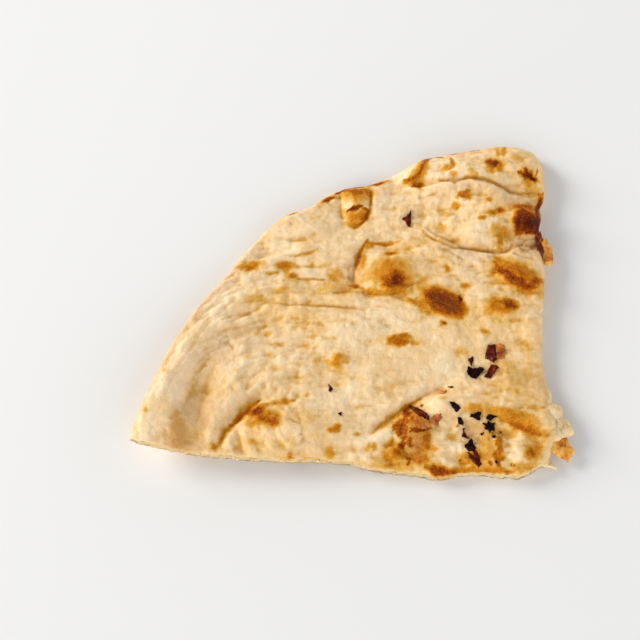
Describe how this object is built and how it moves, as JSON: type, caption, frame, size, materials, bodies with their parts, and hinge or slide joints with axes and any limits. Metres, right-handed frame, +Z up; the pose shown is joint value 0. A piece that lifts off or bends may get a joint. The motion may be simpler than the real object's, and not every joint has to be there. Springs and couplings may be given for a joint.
{
  "type": "naan bread wedge",
  "caption": "Wedge of leavened flatbread with a straight cut side, a soft baked rim, toasted blisters and burnt onion flakes, lying flat to be torn and eaten.",
  "frame": {"origin": "under the middle of the bread's bounding box, on the surface that it lies on", "axes": "+X along the straight cut from its pointed end to its torn corner, +Y from the cut to the far baked rim, +Z up out of the blistered side"},
  "size_m": [0.1486, 0.1278, 0.0123],
  "materials": {
    "crust": "oven-baked white wheat dough: soft and matt, cream with golden brown toasted spots and a thin brushing of melted butter",
    "onion": "fried onion, thin and brittle, amber to dark red brown, with a slight gloss",
    "char": "burnt onion flake, black and brittle with a slight gloss"
  },
  "bodies": {
    "root": {"naan_bread": "crust"}
  },
  "joints": []
}
